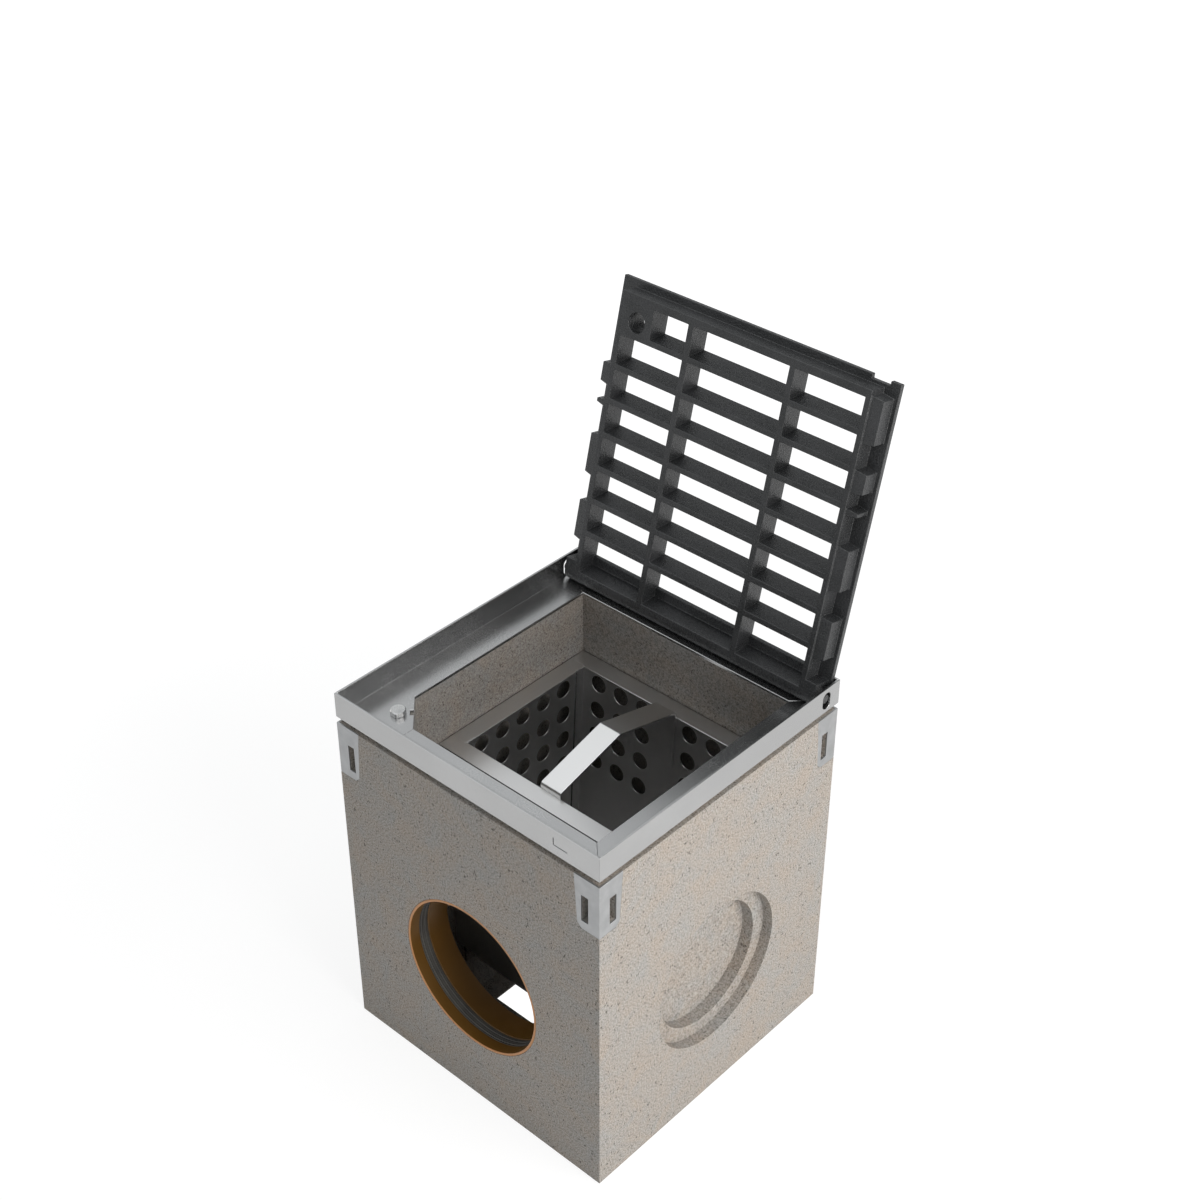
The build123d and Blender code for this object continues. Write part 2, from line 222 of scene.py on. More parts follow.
concrete = {
    "warm": (0.356, 0.307, 0.262), "cool": (0.318, 0.312, 0.300), "grit": (0.150, 0.128, 0.108),
    "pale": (0.500, 0.470, 0.430), "fleck": (0.085, 0.075, 0.066), "patchSize": 24.0, "patchDetail": 6.0,
    "patchRough": 0.66, "patchWarp": 0.7, "grainSize": 460.0, "grainDetail": 3.0, "grainRough": 0.72,
    "fleckSize": 430.0, "fleckStretch": (1.0, 1.0, 0.5), "pickShare": 0.35, "pickDetail": 2.0,
    "coolFrom": 0.34, "coolTo": 0.66, "paleFrom": 0.50, "paleTo": 0.66, "paleMost": 0.70, "gritFrom": 0.49,
    "gritTo": 0.34, "gritMost": 0.85, "fleckFrom": 0.40, "fleckTo": 0.22, "pickFrom": 0.56, "pickTo": 0.62,
    "rough": 0.88, "sheen": 0.25, "bump": 0.42, "bumpDepth": 0.0006, "insideHalf": 0.1606, "inside": 0.62}


def insideMask(tree, place):
    # one within the cavity, where the casting is darkened as painted shade, nought outside
    axes = addNode(tree, "ShaderNodeSeparateXYZ")
    tree.links.new(place, axes.inputs[0])
    inside = []
    for name in ("X", "Y"):
        size = addNode(tree, "ShaderNodeMath", operation="ABSOLUTE")
        tree.links.new(axes.outputs[name], size.inputs[0])
        under = addNode(tree, "ShaderNodeMath", operation="LESS_THAN")
        under.inputs[1].default_value = concrete["insideHalf"]
        tree.links.new(size.outputs[0], under.inputs[0])
        inside.append(under)
    both = addNode(tree, "ShaderNodeMath", operation="MULTIPLY")
    tree.links.new(inside[0].outputs[0], both.inputs[0])
    tree.links.new(inside[1].outputs[0], both.inputs[1])
    return both.outputs[0]


def makeConcrete():
    # resin-bound mineral mix: soft warm and cool clouds, sand grains, thin dark flecks
    c = concrete
    material, tree, shader = newMaterial("polymerConcrete")
    links = tree.links
    coords = addNode(tree, "ShaderNodeTexCoord")
    clouds = addNode(tree, "ShaderNodeTexNoise")
    setSockets(clouds, {"Scale": c["patchSize"], "Detail": c["patchDetail"], "Roughness": c["patchRough"],
                        "Distortion": c["patchWarp"]})
    sand = addNode(tree, "ShaderNodeTexNoise")
    setSockets(sand, {"Scale": c["grainSize"], "Detail": c["grainDetail"], "Roughness": c["grainRough"]})
    drawn = addNode(tree, "ShaderNodeVectorMath", operation="MULTIPLY")
    drawn.inputs[1].default_value = c["fleckStretch"]
    fleck = addNode(tree, "ShaderNodeTexVoronoi")
    setSockets(fleck, {"Scale": c["fleckSize"], "Randomness": 1.0})
    fleckPick = addNode(tree, "ShaderNodeTexNoise")
    setSockets(fleckPick, {"Scale": c["fleckSize"] * c["pickShare"], "Detail": c["pickDetail"]})
    for node in (clouds, sand, fleckPick):
        links.new(coords.outputs["Object"], node.inputs["Vector"])
    links.new(coords.outputs["Object"], drawn.inputs[0])
    links.new(drawn.outputs[0], fleck.inputs["Vector"])
    coolShare = spread(tree, clouds.outputs["Fac"], c["coolFrom"], c["coolTo"])
    tone = mixColour(tree, coolShare, c["warm"], c["cool"])
    paleShare = spread(tree, sand.outputs["Fac"], c["paleFrom"], c["paleTo"], c["paleMost"])
    paler = mixColour(tree, paleShare, tone, c["pale"])
    gritShare = spread(tree, sand.outputs["Fac"], c["gritFrom"], c["gritTo"], c["gritMost"])
    darker = mixColour(tree, gritShare, paler, c["grit"])
    near = spread(tree, fleck.outputs["Distance"], c["fleckFrom"], c["fleckTo"])
    chosen = spread(tree, fleckPick.outputs["Fac"], c["pickFrom"], c["pickTo"])
    pit = addNode(tree, "ShaderNodeMath", operation="MULTIPLY")
    links.new(near, pit.inputs[0])
    links.new(chosen, pit.inputs[1])
    flecked = mixColour(tree, pit.outputs[0], darker, c["fleck"])
    # painted shade: the walls inside the cavity are multiplied darker, standing for the shade within the
    # basin
    shade = addNode(tree, "ShaderNodeMix", data_type="RGBA", blend_type="MULTIPLY")
    shade.inputs["B"].default_value = (c["inside"], c["inside"], c["inside"], 1)
    links.new(insideMask(tree, coords.outputs["Object"]), shade.inputs["Factor"])
    links.new(flecked, shade.inputs["A"])
    links.new(shade.outputs["Result"], shader.inputs["Base Color"])
    shader.inputs["Roughness"].default_value = c["rough"]
    shader.inputs["Specular IOR Level"].default_value = c["sheen"]
    height = addNode(tree, "ShaderNodeMath", operation="SUBTRACT")
    links.new(sand.outputs["Fac"], height.inputs[0])
    links.new(pit.outputs[0], height.inputs[1])
    bump = addNode(tree, "ShaderNodeBump")
    setSockets(bump, {"Strength": c["bump"], "Distance": c["bumpDepth"]})
    links.new(height.outputs[0], bump.inputs["Height"])
    links.new(bump.outputs["Normal"], shader.inputs["Normal"])
    return material


materials["polymerConcrete"] = makeConcrete()
print("stage: materials made", len(materials))


# angles in degrees, distances in metres
making = {"smoothAngle": 32.0, "normalWeight": 80, "mergeNear": 0.00001, "mergeCut": 0.00002,
          "flatAngle": 1.0, "flatCut": 0.6, "bevelAngle": 28.0, "turnedAngle": 40.0, "boltAngle": 50.0}


def pickOnly(*objects):
    bpy.ops.object.select_all(action="DESELECT")
    for item in objects:
        item.select_set(True)
    bpy.context.view_layer.objects.active = objects[-1]


def applyModifier(item, kind, **values):
    modifier = item.modifiers.new(kind.lower(), kind)
    for key, value in values.items():
        setattr(modifier, key, value)
    pickOnly(item)
    bpy.ops.object.modifier_apply(modifier=modifier.name)


def roundEdges(piece, width, segments, angle, clamp=True):
    applyModifier(piece, "BEVEL", width=width, segments=segments, limit_method="ANGLE",
                  angle_limit=math.radians(angle), use_clamp_overlap=clamp)


def mergeMesh(piece, near, flat):
    # doubles merged, and the edges within flat faces taken out
    pickOnly(piece)
    bpy.ops.object.mode_set(mode="EDIT")
    bpy.ops.mesh.select_all(action="SELECT")
    bpy.ops.mesh.remove_doubles(threshold=near)
    bpy.ops.mesh.dissolve_limited(angle_limit=math.radians(flat))
    bpy.ops.object.mode_set(mode="OBJECT")


def finishPiece(piece, finish, slotName, body, *replaced):
    piece.data.materials.clear()
    piece.data.materials.append(materials[finish])
    pickOnly(piece)
    bpy.ops.object.shade_smooth_by_angle(angle=math.radians(making["smoothAngle"]))
    applyModifier(piece, "WEIGHTED_NORMAL", keep_sharp=True, weight=making["normalWeight"])
    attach(piece, body)
    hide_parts(*replaced)


def cutBy(piece, cutter, operation="DIFFERENCE"):
    settle(cutter)
    applyModifier(piece, "BOOLEAN", operation=operation, solver="EXACT", object=cutter)
    bpy.data.objects.remove(cutter)


def addCylinder(sides, radius, depth, middle, turn=0.0, axis="Z"):
    bpy.ops.object.select_all(action="DESELECT")
    quarter = math.radians(90)
    rotation = {"X": (0, quarter, 0), "Y": (quarter, 0, 0), "Z": (0, 0, math.radians(turn))}[axis]
    bpy.ops.mesh.primitive_cylinder_add(vertices=sides, radius=radius, depth=depth, location=middle,
                                        rotation=rotation)
    return bpy.context.object


def addBox(low, high, lean=0.0):
    # the lean is in degrees about y, at the box's own middle
    bpy.ops.object.select_all(action="DESELECT")
    middle = [(a + b) / 2 for a, b in zip(low, high)]
    bpy.ops.mesh.primitive_cube_add(size=1.0, location=middle, rotation=(0, math.radians(lean), 0))
    box = bpy.context.object
    box.scale = [b - a for a, b in zip(low, high)]
    return box


def settle(piece):
    # the object ends unturned and unscaled at the origin
    pickOnly(piece)
    bpy.ops.object.transform_apply(location=True, rotation=True, scale=True)


# what the photograph shows in the concrete beyond the CAD solid
casting = {"half": 0.2, "axisZ": 0.192, "sides": 160, "knockRadius": 0.1015, "knockDepth": 0.0142,
           "innerRadius": 0.083, "innerDepth": 0.0297, "boreRadius": 0.104, "boreLength": 0.070,
           "openLeft": -0.157, "openRight": 0.160, "cornerCut": 0.047, "seatZ": 0.383, "slotDepth": 0.007,
           "slotOver": 0.0006, "slotOut": 0.0007, "slotIn": 0.0027, "guideX": 0.1481, "guideY": -0.0785,
           "guideHalf": 0.0015, "guideReach": 0.003, "guideLow": 0.02, "guideTop": 0.387, "guideLean": 2.2,
           "floorTop": 0.032, "floorHalf": 0.1545, "floorLeft": -0.1515, "drainX": 0.0885, "drainY": 0.0775,
           "drainLow": -0.01, "drainTop": 0.05, "sillZ": 0.003, "hopperX": 0.143, "hopperY": 0.146,
           "hopperIn": 0.82, "hopperOver": 0.002}


def cutRounds(piece):
    # the knock-out with its inner step, and the bore for the pipe socket
    c = casting
    half, sides, z = c["half"], c["sides"], c["axisZ"]
    for radius, depth in ((c["knockRadius"], c["knockDepth"]), (c["innerRadius"], c["innerDepth"])):
        cutBy(piece, addCylinder(sides, radius, 2 * depth, (half, 0, z), axis="X"))
    cutBy(piece, addCylinder(sides, c["boreRadius"], 2 * c["boreLength"], (0, -half, z), axis="Y"))


def cutSeat(piece):
    # narrow slots along the ledge that the bucket and the baffle rest on
    c = casting
    left, right = c["openLeft"], c["openRight"]
    out, deep = c["slotOut"], c["slotIn"]
    low, high = c["seatZ"] - c["slotDepth"], c["seatZ"] + c["slotOver"]
    guide = c["guideY"] - c["guideHalf"]
    cutBy(piece, addBox((left - out, guide, low), (left + deep, right + out, high)))
    cutBy(piece, addBox((right - deep, -right - out, low), (right + out, right + out, high)))
    cutBy(piece, addBox((left - out, right - deep, low), (right + out, right + out, high)))
    cutBy(piece, addBox((left + c["cornerCut"], -right - out, low), (right + out, deep - right, high)))


def cutGuides(piece):
    # the baffle's groove down each side wall
    c = casting
    reach = c["guideReach"]
    y0, y1 = c["guideY"] - c["guideHalf"], c["guideY"] + c["guideHalf"]
    for side in (-1, 1):
        x = side * c["guideX"] + (c["openLeft"] + c["openRight"]) / 2
        cutBy(piece, addBox((x - reach, y0, c["guideLow"]), (x + reach, y1, c["guideTop"]),
                            side * c["guideLean"]))


def addHopper():
    # a four-sided cone, wider at the top, that slopes the floor towards the drain
    c = casting
    depth = c["floorTop"] + c["hopperOver"] - c["sillZ"]
    corner = math.sqrt(2)
    middle = (0, 0, c["sillZ"] + depth / 2)
    bpy.ops.object.select_all(action="DESELECT")
    bpy.ops.mesh.primitive_cone_add(vertices=4, radius1=c["hopperIn"] * corner, radius2=corner, depth=depth,
                                    location=middle, rotation=(0, 0, math.radians(45)))
    hopper = bpy.context.object
    settle(hopper)
    hopper.scale = (c["hopperX"], c["hopperY"], 1)
    return hopper


def addFloor(piece):
    c = casting
    slab = addBox((c["floorLeft"], -c["floorHalf"], 0.0), (c["floorHalf"], c["floorHalf"], c["floorTop"]))
    settle(slab)
    x, y = c["drainX"], c["drainY"]
    cutBy(slab, addBox((-x, -y, c["drainLow"]), (x, y, c["drainTop"])))
    cutBy(slab, addHopper())
    cutBy(piece, slab, "UNION")


def shapeBody(piece):
    cutRounds(piece)
    cutSeat(piece)
    cutGuides(piece)
    addFloor(piece)
    mergeMesh(piece, making["mergeCut"], making["flatCut"])


# the sheet joints that show as dark lines on the bucket's sides: start and end in y, and slope
seams = {"half": 0.17, "front": (-0.0532, -0.0524, 0.0), "back": (0.12055, 0.12155, 0.06), "low": 0.02,
         "seat": 0.3832, "top": 0.3848}


def addSlat(low, high, slope):
    # a box whose foot is moved forward, so that it leans as the bucket's rear wall does
    head = (seams["top"] - high[2]) * slope
    slat = addBox((low[0], low[1] - head, low[2]), (high[0], high[1] - head, high[2]))
    settle(slat)
    bpy.ops.object.mode_set(mode="EDIT")
    bpy.ops.mesh.select_all(action="DESELECT")
    bpy.ops.object.mode_set(mode="OBJECT")
    for vertex in slat.data.vertices:
        vertex.select = vertex.co.z < (low[2] + high[2]) / 2
    bpy.ops.object.mode_set(mode="EDIT")
    bpy.ops.transform.translate(value=(0, (low[2] - high[2]) * slope, 0))
    bpy.ops.object.mode_set(mode="OBJECT")
    return slat


def openSeams(piece):
    half, low, high = seams["half"], seams["low"], seams["seat"]
    for start, end, slope in (seams["front"], seams["back"]):
        cutBy(piece, addSlat((-half, start, low), (half, end, high), slope))


def dressNode(nodeName, finish, slotName, body, edge, segments, cutter):
    # the node's own faces, merged and given the small rounded edges of the real piece
    piece = bpy.data.objects.new("dressed_" + nodeName, nodes[nodeName].data.copy())
    scene.collection.objects.link(piece)
    mergeMesh(piece, making["mergeNear"], making["flatAngle"])
    if cutter:
        applyModifier(piece, "BOOLEAN", operation="DIFFERENCE", solver="EXACT", object=cutter)
    if nodeName == "body":
        shapeBody(piece)
    if nodeName in ("bucket_left", "bucket_right"):
        openSeams(piece)
    roundEdges(piece, edge, segments, making["bevelAngle"], clamp=cutter is None)
    finishPiece(piece, finish, slotName, body, nodeName)


# bucket holes: each flat-sided CAD hole is bored out round, a hair larger
holes = {"radius": 0.01156, "sides": 48, "rows": 4, "down": 0.015, "pitchZ": 0.0385, "pitchX": 0.0364,
         "pitchY": 0.035, "firstY": 0.025, "midX": 0.0015, "frontY": -0.0665, "midY": 0.0335, "top": 0.3848,
         "slope": 0.06, "frontReach": 0.26, "sideReach": 0.34}


def makeCutter(name, turn, length, places):
    bpy.ops.object.select_all(action="DESELECT")
    bpy.ops.mesh.primitive_cylinder_add(vertices=holes["sides"], radius=holes["radius"], depth=length,
                                        location=places[0], rotation=turn)
    first = bpy.context.object
    copies = [first]
    for place in places[1:]:
        copy = first.copy()
        copy.data = first.data.copy()
        copy.location = place
        scene.collection.objects.link(copy)
        copies.append(copy)
    pickOnly(*copies)
    bpy.ops.object.join()
    cutter = bpy.context.object
    cutter.name = name
    return cutter


frontPlaces = []
sidePlaces = []
for row in range(holes["rows"]):
    down = holes["down"] + row * holes["pitchZ"]
    z = holes["top"] - down
    for column in (-3, -2, -1, 1, 2, 3):
        frontPlaces.append((holes["midX"] + column * holes["pitchX"], holes["midY"], z))
    for column in range(5):
        y = holes["frontY"] + holes["firstY"] + column * holes["pitchY"] - down * holes["slope"] / 2
        sidePlaces.append((holes["midX"], y, z))
quarter = math.radians(90)
cutters = {"front": makeCutter("frontCutter", (quarter, 0, 0), holes["frontReach"], frontPlaces),
           "side": makeCutter("sideCutter", (0, quarter, 0), holes["sideReach"], sidePlaces)}
boredPanels = {"bucket_front": "front", "bucket_back": "front",
               "bucket_left": "side", "bucket_right": "side"}
print("stage: hole cutters made", len(frontPlaces), len(sidePlaces))

# finish, slot, body, edge radius and bevel steps of each node that keeps its own shape
dressing = {
    "body": ("polymerConcrete", "polymer_concrete", "basin", 0.0012, 2),
    "frame_front": ("frameSteel", "frame_steel", "basin", 0.0008, 3),
    "frame_right": ("frameSteel", "frame_steel", "basin", 0.0008, 3),
    "frame_back": ("frameSteel", "frame_steel", "basin", 0.0008, 3),
    "frame_left": ("frameSteel", "frame_steel", "basin", 0.0008, 3),
    "anchor_front": ("zinc", "zinc", "basin", 0.0006, 2),
    "anchor_right": ("zinc", "zinc", "basin", 0.0006, 2),
    "anchor_back": ("zinc", "zinc", "basin", 0.0006, 2),
    "anchor_left": ("zinc", "zinc", "basin", 0.0006, 2),
    "lock_nut": ("zinc", "zinc", "basin", 0.0006, 2),
    "grate": ("castIron", "black_cast_iron", "grate", 0.0014, 3),
    "hinge_pin_left": ("castIron", "black_cast_iron", "grate", 0.0008, 2),
    "hinge_pin_right": ("castIron", "black_cast_iron", "grate", 0.0008, 2),
    "bucket_front": ("stainless", "stainless", "bucket", 0.00042, 2),
    "bucket_back": ("stainless", "stainless", "bucket", 0.00042, 2),
    "bucket_left": ("stainless", "stainless", "bucket", 0.00042, 2),
    "bucket_right": ("stainless", "stainless", "bucket", 0.00042, 2),
    "bucket_base": ("stainless", "stainless", "bucket", 0.00025, 2),
    "bucket_handle": ("stainless", "stainless", "bucket", 0.0005, 2),
    "baffle_plate": ("stainless", "stainless", "baffle", 0.00025, 2),
}
for nodeName, (finish, slotName, body, edge, segments) in dressing.items():
    dressNode(nodeName, finish, slotName, body, edge, segments, cutters.get(boredPanels.get(nodeName)))
for cutter in cutters.values():
    bpy.data.objects.remove(cutter)
print("stage: nodes dressed", len(dressing))

# locking bolt: chamfered hexagon head on a threaded shank
lockBolt = {"x": -0.148, "y": -0.153, "seat": 0.4713, "headRadius": 0.0098, "headHeight": 0.0064,
            "turn": 30.0, "roundRadius": 0.0092, "roundSides": 64, "chamfer": 0.0010, "shankRadius": 0.005,
            "shankSides": 48, "tipEdge": 0.0006, "edge": 0.0002, "length": 0.030, "plain": 0.006,
            "pitch": 0.0015, "ridge": 0.00078, "steps": 28}


def makeThread(x, y, top, run):
    # a three-sided ridge wound up the shank by the screw modifier
    bpy.ops.object.select_all(action="DESELECT")
    pitch, ridge = lockBolt["pitch"], lockBolt["ridge"]
    turns = int(run / pitch)
    foot = (x, y, top - turns * pitch)
    bpy.ops.mesh.primitive_circle_add(vertices=3, radius=ridge, location=foot)
    thread = bpy.context.object
    bpy.ops.object.mode_set(mode="EDIT")
    bpy.ops.mesh.select_all(action="SELECT")
    bpy.ops.transform.rotate(value=math.radians(90), orient_axis="Z", center_override=foot)
    bpy.ops.transform.rotate(value=math.radians(90), orient_axis="X", center_override=foot)
    bpy.ops.transform.translate(value=(lockBolt["shankRadius"] - ridge, 0, 0))
    bpy.ops.object.mode_set(mode="OBJECT")
    steps = lockBolt["steps"]
    applyModifier(thread, "SCREW", axis="Z", angle=math.radians(360), screw_offset=pitch,
                  iterations=turns - 1, steps=steps, render_steps=steps, use_normal_calculate=True)
    return thread


def makeBolt():
    x, y, seat = lockBolt["x"], lockBolt["y"], lockBolt["seat"]
    height, length, plain = lockBolt["headHeight"], lockBolt["length"], lockBolt["plain"]
    radius, ridge, sides = lockBolt["shankRadius"], lockBolt["ridge"], lockBolt["shankSides"]
    head = addCylinder(6, lockBolt["headRadius"], height, (x, y, seat + height / 2), lockBolt["turn"])
    turned = addCylinder(lockBolt["roundSides"], lockBolt["roundRadius"], 2 * height, (x, y, seat))
    applyModifier(turned, "BEVEL", width=lockBolt["chamfer"], segments=1, limit_method="ANGLE")
    applyModifier(head, "BOOLEAN", operation="INTERSECT", solver="EXACT", object=turned)
    bpy.data.objects.remove(turned)
    neck = addCylinder(sides, radius, plain, (x, y, seat - plain / 2))
    shank = addCylinder(sides, radius - ridge, length, (x, y, seat - length / 2))
    applyModifier(shank, "BEVEL", width=lockBolt["tipEdge"], segments=2, limit_method="ANGLE")
    thread = makeThread(x, y, seat - plain, length - plain - ridge)
    pickOnly(neck, shank, thread, head)
    bpy.ops.object.join()
    bolt = bpy.context.object
    bolt.name = "threadedBolt"
    settle(bolt)
    roundEdges(bolt, lockBolt["edge"], 2, making["boltAngle"])
    finishPiece(bolt, "boltSteel", "bolt_steel", "bolt", "lock_bolt")


makeBolt()
print("stage: bolt made")

# pipe socket and its seal, turned pieces about the outlet's axis
outlet = {"front": -0.19998, "axisZ": 0.192, "sides": 128, "outer": 0.1038, "length": 0.060,
          "mouth": 0.1004, "bore": 0.0998, "grooveFrom": 0.0150, "grooveTo": 0.0285, "groove": 0.1026,
          "over": 0.01, "socketEdge": 0.0009, "sealEdge": 0.0003, "sealFrom": 0.0152, "sealTo": 0.0283,
          "sealOuter": 0.1027, "sealInner": 0.1009, "lipAt": (0.0185, 0.0245), "lipRadius": 0.1013,
          "lipThick": 0.0011, "lipSides": 12}


def addTurned(radius, fromDepth, toDepth):
    # a cylinder about the outlet's axis, between two depths behind the basin's face
    middle = (0, outlet["front"] + (fromDepth + toDepth) / 2, outlet["axisZ"])
    return addCylinder(outlet["sides"], radius, toDepth - fromDepth, middle, axis="Y")


def makeSocket():
    over = outlet["over"]
    socket = addTurned(outlet["outer"], 0.0, outlet["length"])
    socket.name = "outletSocket"
    settle(socket)
    cutBy(socket, addTurned(outlet["bore"], -over, outlet["length"] + over))
    cutBy(socket, addTurned(outlet["mouth"], -over, outlet["grooveFrom"]))
    cutBy(socket, addTurned(outlet["groove"], outlet["grooveFrom"], outlet["grooveTo"]))
    roundEdges(socket, outlet["socketEdge"], 3, making["turnedAngle"])
    finishPiece(socket, "brownPipe", "orange_pvc", "basin", "pipe_socket")


def makeSeal():
    # a flat ring in the groove with two round lips
    over = outlet["over"]
    ring = addTurned(outlet["sealOuter"], outlet["sealFrom"], outlet["sealTo"])
    settle(ring)
    cutBy(ring, addTurned(outlet["sealInner"], outlet["sealFrom"] - over, outlet["sealTo"] + over))
    roundEdges(ring, outlet["sealEdge"], 3, making["turnedAngle"])
    parts = [ring]
    for depth in outlet["lipAt"]:
        bpy.ops.object.select_all(action="DESELECT")
        bpy.ops.mesh.primitive_torus_add(major_radius=outlet["lipRadius"], minor_radius=outlet["lipThick"],
                                         major_segments=outlet["sides"], minor_segments=outlet["lipSides"],
                                         location=(0, outlet["front"] + depth, outlet["axisZ"]),
                                         rotation=(math.radians(90), 0, 0))
        parts.append(bpy.context.object)
    pickOnly(*parts)
    bpy.ops.object.join()
    seal = bpy.context.object
    seal.name = "outletSeal"
    settle(seal)
    finishPiece(seal, "greySeal", "grey_seal", "basin", "pipe_seal")


makeSocket()
makeSeal()
print("stage: outlet made")

# lap strips behind the open seams at the rear of the bucket's sides, painted near black as the shade seen
# through the seams
laps = {"midX": 0.0015, "inner": 0.1343, "thick": 0.0008, "top": 0.3833, "low": 0.0348, "seamY": 0.12178,
        "half": 0.0012, "slope": 0.06}


def makeLaps():
    strips = []
    for side in (-1, 1):
        x0 = laps["midX"] + side * laps["inner"]
        x1 = x0 - side * laps["thick"]
        strips.append(addSlat((min(x0, x1), laps["seamY"] - laps["half"], laps["low"]),
                              (max(x0, x1), laps["seamY"] + laps["half"], laps["top"]), laps["slope"]))
    pickOnly(*strips)
    bpy.ops.object.join()
    joined = bpy.context.object
    joined.name = "bucketLaps"
    settle(joined)
    finishPiece(joined, "lapShadow", "stainless", "bucket")


makeLaps()
print("stage: bucket laps made")

# floor, backdrop and light; a patch has its way, where it starts and is full, and its least share
studio = {"floorSize": 30.0, "floorColour": (0.86, 0.86, 0.86), "cameraWhite": 0.74, "farWhite": 1.0,
          "whiteFrom": 0.55, "whiteTo": 2.0, "underFrom": 0.12, "underTo": 0.16, "glossWhite": 0.45,
          "glow": 1.13, "world": 0.40, "worldColour": (0.96, 0.985, 1.0), "glossLow": 0.10,
          "glossHigh": 1.08, "skyLow": 0.12, "skyHigh": 0.48, "aim": (0, 0, 0.35),
          "dimPatches": [((0.60, 0.60, 0.45), 0.45, 0.92, 0.22), ((-0.55, 0.66, 0.51), 0.955, 0.990, 0.58)]}
lamps = {"key": {"place": (3.0, 0.0, 1.35), "size": 2.4, "power": 94.0, "colour": (1.0, 0.98, 0.955)},
         "fill": {"place": (-2.2, -2.2, 1.6), "size": 2.5, "power": 6.0, "colour": (0.93, 0.97, 1.0)},
         "top": {"place": (0.6, 0.2, 3.6), "size": 2.0, "power": 30.0, "colour": (1.0, 1.0, 1.0)}}


def makeFloor():
    bpy.ops.mesh.primitive_plane_add(size=studio["floorSize"], location=(0, 0, 0))
    floor = bpy.context.object
    floor.name = "studioFloor"
    material = bpy.data.materials.new("paleFloor")
    material.use_nodes = True
    tree = material.node_tree
    tree.nodes.clear()
    out = addNode(tree, "ShaderNodeOutputMaterial")
    matt = addNode(tree, "ShaderNodeBsdfDiffuse")
    matt.inputs["Color"].default_value = (*studio["floorColour"], 1)
    glow = addNode(tree, "ShaderNodeEmission")
    glow.inputs["Color"].default_value = (1, 1, 1, 1)
    glow.inputs["Strength"].default_value = studio["glow"]
    path = addNode(tree, "ShaderNodeLightPath")
    coords = addNode(tree, "ShaderNodeTexCoord")
    away = addNode(tree, "ShaderNodeVectorMath", operation="LENGTH")
    tree.links.new(coords.outputs["Object"], away.inputs[0])
    far = addNode(tree, "ShaderNodeMapRange", interpolation_type="SMOOTHSTEP")
    setSockets(far, {"From Min": studio["whiteFrom"], "From Max": studio["whiteTo"],
                     "To Min": studio["cameraWhite"], "To Max": studio["farWhite"]})
    tree.links.new(away.outputs["Value"], far.inputs["Value"])
    shares = []
    for ray in ("Is Camera Ray", "Is Glossy Ray"):
        share = addNode(tree, "ShaderNodeMath", operation="MULTIPLY")
        share.inputs[1].default_value = studio["glossWhite"]
        tree.links.new(path.outputs[ray], share.inputs[0])
        shares.append(share)
    under = addNode(tree, "ShaderNodeMapRange")
    setSockets(under, {"From Min": studio["underFrom"], "From Max": studio["underTo"],
                       "To Min": studio["farWhite"], "To Max": 0.0})
    tree.links.new(away.outputs["Value"], under.inputs["Value"])
    most = addNode(tree, "ShaderNodeMath", operation="MAXIMUM")
    tree.links.new(far.outputs["Result"], most.inputs[0])
    tree.links.new(under.outputs["Result"], most.inputs[1])
    tree.links.new(most.outputs[0], shares[0].inputs[1])
    seen = addNode(tree, "ShaderNodeMath", operation="MAXIMUM")
    tree.links.new(shares[0].outputs[0], seen.inputs[0])
    tree.links.new(shares[1].outputs[0], seen.inputs[1])
    mix = addNode(tree, "ShaderNodeMixShader")
    tree.links.new(seen.outputs[0], mix.inputs["Fac"])
    tree.links.new(matt.outputs[0], mix.inputs[1])
    tree.links.new(glow.outputs[0], mix.inputs[2])
    tree.links.new(mix.outputs[0], out.inputs["Surface"])
    floor.data.materials.append(material)


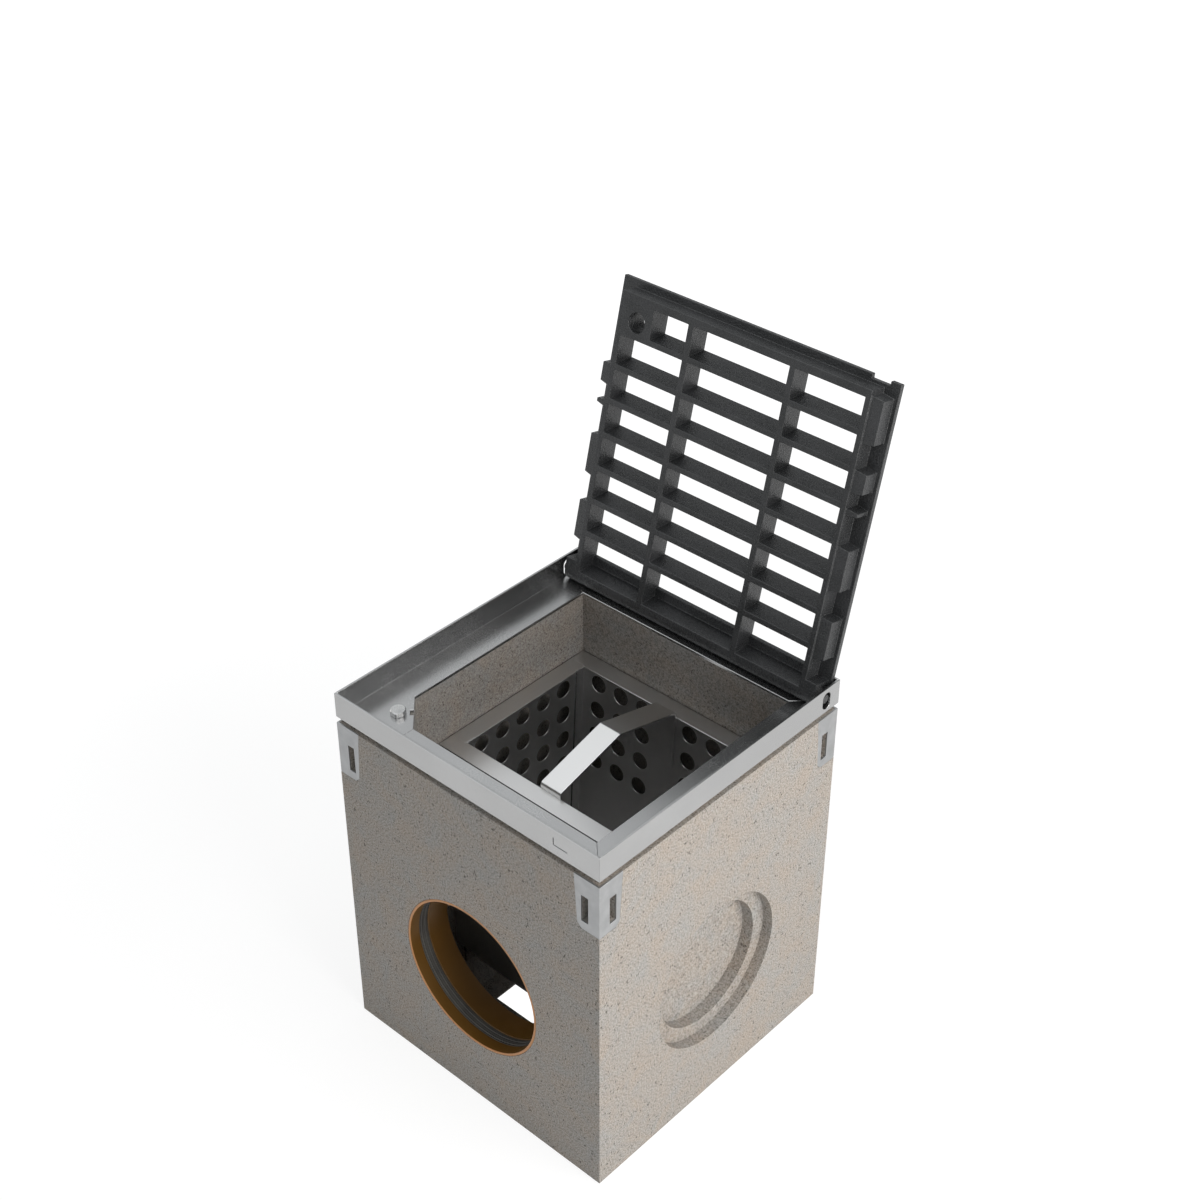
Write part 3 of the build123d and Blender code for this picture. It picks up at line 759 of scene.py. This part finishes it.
def makeWorld():
    world = bpy.data.worlds.new("studioWorld")
    scene.world = world
    world.use_nodes = True
    tree = world.node_tree
    tree.nodes.clear()
    out = addNode(tree, "ShaderNodeOutputWorld")
    background = addNode(tree, "ShaderNodeBackground")
    path = addNode(tree, "ShaderNodeLightPath")
    seen = addNode(tree, "ShaderNodeMath", operation="MAXIMUM")
    tree.links.new(path.outputs["Is Camera Ray"], seen.inputs[0])
    tree.links.new(path.outputs["Is Transmission Ray"], seen.inputs[1])
    colour = addNode(tree, "ShaderNodeMix", data_type="RGBA")
    colour.inputs["A"].default_value = (*studio["worldColour"], 1)
    colour.inputs["B"].default_value = (1, 1, 1, 1)
    tree.links.new(seen.outputs[0], colour.inputs["Factor"])
    tree.links.new(colour.outputs["Result"], background.inputs["Color"])
    plain = addNode(tree, "ShaderNodeMapRange")
    setSockets(plain, {"To Min": studio["world"], "To Max": 1.0})
    tree.links.new(seen.outputs[0], plain.inputs["Value"])
    # mirrored rays see softer, darker patches of the room in some directions
    way = addNode(tree, "ShaderNodeTexCoord")
    patches = []
    for direction, near, full, least in studio["dimPatches"]:
        facing = addNode(tree, "ShaderNodeVectorMath", operation="DOT_PRODUCT")
        facing.inputs[1].default_value = Vector(direction).normalized()
        tree.links.new(way.outputs["Generated"], facing.inputs[0])
        patch = addNode(tree, "ShaderNodeMapRange", interpolation_type="SMOOTHSTEP")
        setSockets(patch, {"From Min": near, "From Max": full, "To Min": 1.0, "To Max": least})
        tree.links.new(facing.outputs["Value"], patch.inputs["Value"])
        patches.append(patch)
    dims = addNode(tree, "ShaderNodeMath", operation="MULTIPLY")
    tree.links.new(patches[0].outputs["Result"], dims.inputs[0])
    tree.links.new(patches[1].outputs["Result"], dims.inputs[1])
    axes = addNode(tree, "ShaderNodeSeparateXYZ")
    tree.links.new(way.outputs["Generated"], axes.inputs[0])
    height = addNode(tree, "ShaderNodeMapRange", interpolation_type="SMOOTHSTEP")
    setSockets(height, {"From Min": studio["skyLow"], "From Max": studio["skyHigh"],
                        "To Min": studio["glossLow"], "To Max": studio["glossHigh"]})
    tree.links.new(axes.outputs["Z"], height.inputs["Value"])
    room = addNode(tree, "ShaderNodeMath", operation="MULTIPLY")
    tree.links.new(dims.outputs[0], room.inputs[0])
    tree.links.new(height.outputs["Result"], room.inputs[1])
    strength = addNode(tree, "ShaderNodeMix", data_type="FLOAT")
    tree.links.new(path.outputs["Is Glossy Ray"], strength.inputs["Factor"])
    tree.links.new(plain.outputs["Result"], strength.inputs["A"])
    tree.links.new(room.outputs[0], strength.inputs["B"])
    tree.links.new(strength.outputs["Result"], background.inputs["Strength"])
    tree.links.new(background.outputs[0], out.inputs["Surface"])


def makeLight(name, settings):
    data = bpy.data.lights.new(name + "Light", "AREA")
    data.energy = settings["power"]
    data.size = settings["size"]
    data.color = settings["colour"]
    light = bpy.data.objects.new(name + "Light", data)
    light.location = settings["place"]
    aim = Vector(studio["aim"]) - Vector(settings["place"])
    light.rotation_euler = aim.to_track_quat("-Z", "Y").to_euler()
    scene.collection.objects.link(light)


makeFloor()
makeWorld()
for name, settings in lamps.items():
    makeLight(name, settings)
print("stage: studio set")
